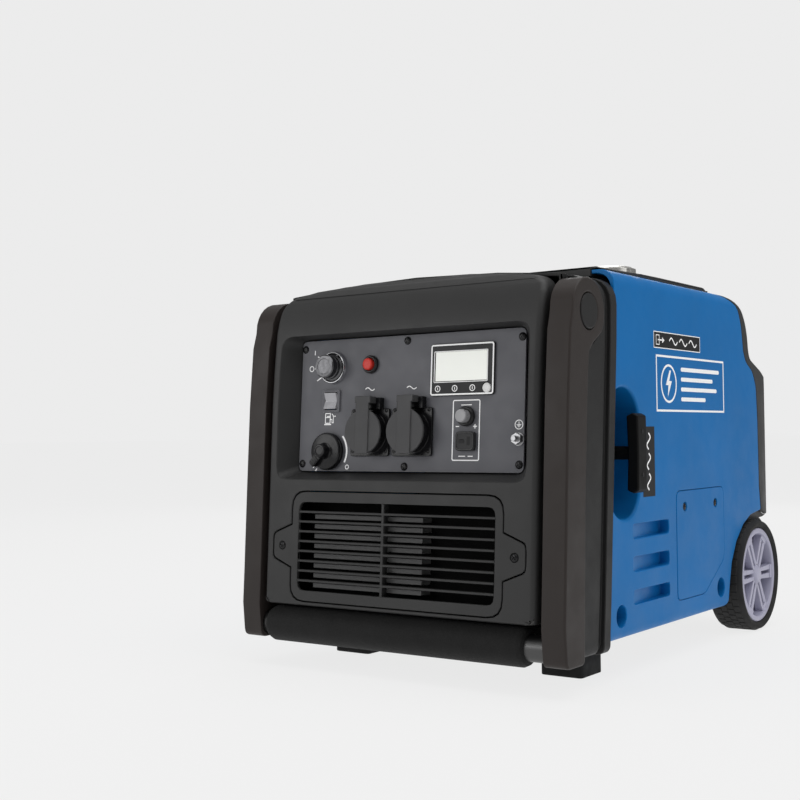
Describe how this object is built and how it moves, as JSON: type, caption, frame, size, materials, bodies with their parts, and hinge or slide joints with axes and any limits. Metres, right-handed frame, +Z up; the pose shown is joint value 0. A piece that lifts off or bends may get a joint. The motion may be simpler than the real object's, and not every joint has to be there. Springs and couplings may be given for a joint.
{
  "type": "portable generator",
  "caption": "Wheeled inverter generator: moulded covers, blue side panels, recessed control panel with sockets, intake grille, pull starter, fold-up trolley handle and two rear wheels.",
  "frame": {"origin": "centre of the bounding box on the ground plane, under the body", "axes": "+Z up; +Y from the control panel and handle towards the wheels and exhaust; +X towards the pull starter"},
  "size_m": [0.4088, 0.5955, 0.446],
  "materials": {
    "black_plastic": "fine-textured moulded plastic, satin",
    "dark_plastic": "moulded plastic, satin",
    "blue_plastic": "smooth moulded plastic, semi-gloss",
    "panel_plate": "dark grey lacquered plate, satin",
    "foam": "closed-cell foam sleeve, matt",
    "rope": "braided cord",
    "rubber": "moulded rubber, matt",
    "tyre": "ribbed tread rubber",
    "rim_plastic": "light grey moulded plastic, satin",
    "steel": "satin steel",
    "chrome": "polished",
    "silver": "satin metallised",
    "red_plastic": "glossy",
    "screen": "pale liquid-crystal display",
    "white_plastic": "satin",
    "cast_aluminium": "as cast",
    "copper": "enamelled windings"
  },
  "bodies": {
    "body": {"front_housing": "black_plastic", "front_cover": "black_plastic", "intake_grille": "black_plastic", "top_cover": "black_plastic", "rear_cover": "black_plastic", "exhaust_outlet": "steel", "chassis_tray": "black_plastic", "wheel_axle": "steel", "side_panel_left": "blue_plastic", "side_panel_right": "blue_plastic", "service_hatch_left": "blue_plastic", "service_hatch_right": "blue_plastic", "pivot_pin_left": "black_plastic", "pivot_pin_right": "black_plastic", "foot_left": "rubber", "foot_right": "rubber", "control_panel": "panel_plate", "starter_knob_ring": "chrome", "socket_left": "dark_plastic", "socket_right": "dark_plastic", "display_module": "dark_plastic", "display_screen": "screen", "dc_socket": "dark_plastic", "ground_terminal": "steel", "recoil_housing": "dark_plastic", "alternator_stator": "copper", "engine_crankcase": "cast_aluminium", "cylinder_head": "cast_aluminium", "carburettor": "cast_aluminium", "air_filter_box": "dark_plastic", "muffler": "steel", "fuel_tank": "dark_plastic", "filler_neck": "steel", "inverter_module": "cast_aluminium", "starter_battery": "dark_plastic"},
    "handle": {"handle_arm_left": "black_plastic", "handle_arm_right": "black_plastic", "handle_tube": "steel", "grip_foam": "foam"},
    "wheel_left": {"tyre_left": "tyre", "wheel_rim_left": "rim_plastic"},
    "wheel_right": {"tyre_right": "tyre", "wheel_rim_right": "rim_plastic"},
    "starter_knob": {"starter_knob": "chrome"},
    "start_button": {"start_button": "red_plastic"},
    "eco_rocker": {"eco_rocker": "dark_plastic"},
    "fuel_valve_knob": {"fuel_valve_knob": "dark_plastic"},
    "breaker_button": {"breaker_button": "silver"},
    "display_button": {"display_button": "white_plastic"},
    "socket_lid_left": {"socket_lid_left": "black_plastic"},
    "socket_lid_right": {"socket_lid_right": "black_plastic"},
    "fuel_cap_insert": {"fuel_cap_insert": "rubber"},
    "fuel_cap": {"fuel_cap": "silver"},
    "recoil_handle": {"recoil_handle": "dark_plastic", "recoil_rope": "rope"},
    "recoil_pulley": {"recoil_pulley": "dark_plastic"},
    "crankshaft": {"crankshaft": "steel", "flywheel_fan": "cast_aluminium", "alternator_rotor": "steel"}
  },
  "joints": [
    {"name": "handle_fold", "type": "hinge", "parent": "body", "child": "handle", "pos_m": [0, -0.2395, 0.364], "axis": [-1, 0, 0], "range_deg": [0, 102]},
    {"name": "wheel_left_spin", "type": "hinge", "parent": "body", "child": "wheel_left", "pos_m": [-0.175, 0.2105, 0.0685], "axis": [1, 0, 0], "continuous": true},
    {"name": "wheel_right_spin", "type": "hinge", "parent": "body", "child": "wheel_right", "pos_m": [0.175, 0.2105, 0.0685], "axis": [1, 0, 0], "continuous": true},
    {"name": "starter_knob_turn", "type": "hinge", "parent": "body", "child": "starter_knob", "pos_m": [-0.0965, -0.26111, 0.32022], "axis": [0, -0.9975, 0.0708], "range_deg": [-30, 30]},
    {"name": "eco_rocker_tilt", "type": "hinge", "parent": "body", "child": "eco_rocker", "pos_m": [-0.098, -0.26365, 0.28431], "axis": [1, 0, 0], "range_deg": [-8, 8]},
    {"name": "fuel_valve_turn", "type": "hinge", "parent": "body", "child": "fuel_valve_knob", "pos_m": [-0.1, -0.26748, 0.23045], "axis": [0, -0.9975, 0.0708], "range_deg": [0, 90]},
    {"name": "start_button_press", "type": "slide", "parent": "body", "child": "start_button", "axis": [0, 0.9975, -0.0708], "range_m": [0, 0.003], "stiffness_N_per_m": 250, "springref_m": -0.001},
    {"name": "breaker_button_press", "type": "slide", "parent": "body", "child": "breaker_button", "axis": [0, 0.9975, -0.0708], "range_m": [0, 0.003], "stiffness_N_per_m": 250, "springref_m": -0.001},
    {"name": "display_button_press", "type": "slide", "parent": "body", "child": "display_button", "axis": [0, 0.9975, -0.0708], "range_m": [0, 0.0015], "stiffness_N_per_m": 250, "springref_m": -0.001},
    {"name": "socket_lid_left_open", "type": "hinge", "parent": "body", "child": "socket_lid_left", "pos_m": [-0.0435, -0.27267, 0.28445], "axis": [-1, 0, 0], "range_deg": [0, 100], "stiffness_Nm_per_rad": 0.02, "springref_deg": -17.19},
    {"name": "socket_lid_right_open", "type": "hinge", "parent": "body", "child": "socket_lid_right", "pos_m": [0.0102, -0.27267, 0.28445], "axis": [-1, 0, 0], "range_deg": [0, 100], "stiffness_Nm_per_rad": 0.02, "springref_deg": -17.19},
    {"name": "fuel_cap_lift", "type": "slide", "parent": "body", "child": "fuel_cap_insert", "axis": [0, 0, 1], "range_m": [0, 0.08]},
    {"name": "fuel_cap_turn", "type": "hinge", "parent": "fuel_cap_insert", "child": "fuel_cap", "pos_m": [0.075, 0.056, 0.43], "axis": [0, 0, 1], "range_deg": [0, 90]},
    {"name": "recoil_pull", "type": "slide", "parent": "body", "child": "recoil_handle", "axis": [1, 0, 0], "range_m": [0, 0.3], "stiffness_N_per_m": 30, "springref_m": -0.1},
    {"name": "recoil_pulley_spin", "type": "hinge", "parent": "body", "child": "recoil_pulley", "pos_m": [0, -0.139, 0.166], "axis": [0, 1, 0], "range_deg": [0, 290]},
    {"name": "crankshaft_spin", "type": "hinge", "parent": "body", "child": "crankshaft", "pos_m": [0, -0.059, 0.166], "axis": [0, 1, 0], "continuous": true}
  ],
  "couplings": [
    {"joint": "recoil_pulley_spin", "follows": "recoil_pull", "rad_per_m": 16.667}
  ]
}
